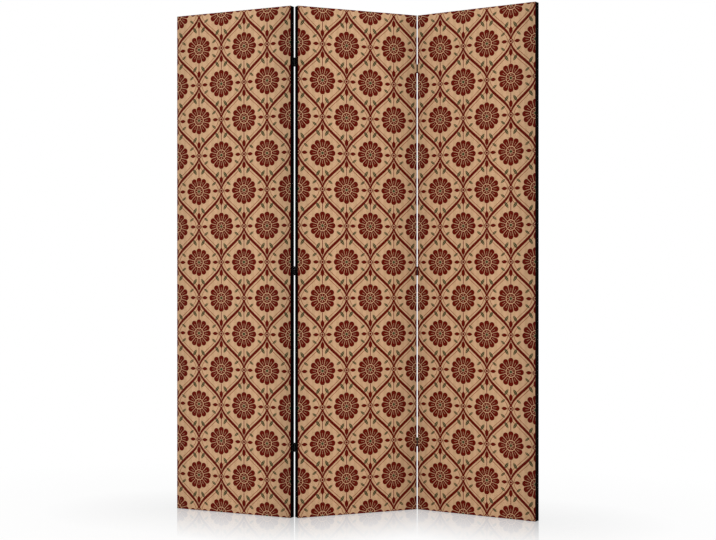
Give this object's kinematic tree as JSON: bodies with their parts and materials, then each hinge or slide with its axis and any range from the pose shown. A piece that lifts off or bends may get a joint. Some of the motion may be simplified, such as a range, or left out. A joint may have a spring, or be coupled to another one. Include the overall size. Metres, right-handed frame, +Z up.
{
  "type": "folding screen",
  "caption": "Free-standing folding screen of tall canvas-covered timber panels joined edge to edge by butt hinges, standing in a zigzag.",
  "frame": {"origin": "middle of the standing screen's box in plan, on the floor", "axes": "+X to the viewer's right along the screen's overall run, +Y away from the viewer, from the printed front to the lined back, +Z up"},
  "size_m": [1.2253, 0.2968, 1.72],
  "materials": {
    "canvas": "printed cotton canvas, matt, tan ground with deep red and a little olive, black on the edges",
    "lining": "black non-woven backing cloth, matt",
    "pine": "planed bare pine",
    "beech": "fluted beech dowel, bare",
    "hinge_black": "black lacquered steel sheet, satin",
    "screw_steel": "black oxide steel, dull",
    "staple_steel": "galvanised steel wire"
  },
  "bodies": {
    "middle_panel": {"left_fold_lower_hinge_fixed_leaf": "hinge_black", "left_fold_lower_hinge_pin": "hinge_black", "left_fold_middle_hinge_fixed_leaf": "hinge_black", "left_fold_middle_hinge_pin": "hinge_black", "left_fold_upper_hinge_fixed_leaf": "hinge_black", "left_fold_upper_hinge_pin": "hinge_black", "middle_panel_bottom_rail": "pine", "middle_panel_canvas": "canvas", "middle_panel_dowels": "beech", "middle_panel_left_hinge_screws": "screw_steel", "middle_panel_left_stile": "pine", "middle_panel_lining": "lining", "middle_panel_lower_cross_rail": "pine", "middle_panel_right_hinge_screws": "screw_steel", "middle_panel_right_stile": "pine", "middle_panel_staples": "staple_steel", "middle_panel_top_rail": "pine", "middle_panel_upper_cross_rail": "pine", "right_fold_lower_hinge_fixed_leaf": "hinge_black", "right_fold_lower_hinge_pin": "hinge_black", "right_fold_middle_hinge_fixed_leaf": "hinge_black", "right_fold_middle_hinge_pin": "hinge_black", "right_fold_upper_hinge_fixed_leaf": "hinge_black", "right_fold_upper_hinge_pin": "hinge_black"},
    "left_panel": {"left_fold_lower_hinge_swing_leaf": "hinge_black", "left_fold_middle_hinge_swing_leaf": "hinge_black", "left_fold_upper_hinge_swing_leaf": "hinge_black", "left_panel_bottom_rail": "pine", "left_panel_canvas": "canvas", "left_panel_dowels": "beech", "left_panel_left_stile": "pine", "left_panel_lining": "lining", "left_panel_lower_cross_rail": "pine", "left_panel_right_hinge_screws": "screw_steel", "left_panel_right_stile": "pine", "left_panel_staples": "staple_steel", "left_panel_top_rail": "pine", "left_panel_upper_cross_rail": "pine"},
    "right_panel": {"right_fold_lower_hinge_swing_leaf": "hinge_black", "right_fold_middle_hinge_swing_leaf": "hinge_black", "right_fold_upper_hinge_swing_leaf": "hinge_black", "right_panel_bottom_rail": "pine", "right_panel_canvas": "canvas", "right_panel_dowels": "beech", "right_panel_left_hinge_screws": "screw_steel", "right_panel_left_stile": "pine", "right_panel_lining": "lining", "right_panel_lower_cross_rail": "pine", "right_panel_right_stile": "pine", "right_panel_staples": "staple_steel", "right_panel_top_rail": "pine", "right_panel_upper_cross_rail": "pine"}
  },
  "joints": [
    {"name": "left_fold", "type": "hinge", "parent": "middle_panel", "child": "left_panel", "pos_m": [-0.19923, -0.05423, 0], "axis": [0, 0, -1], "range_deg": [-51, 129]},
    {"name": "right_fold", "type": "hinge", "parent": "middle_panel", "child": "right_panel", "pos_m": [0.22508, 0.10305, 0], "axis": [0, 0, -1], "range_deg": [-58.2, 121.8]}
  ]
}
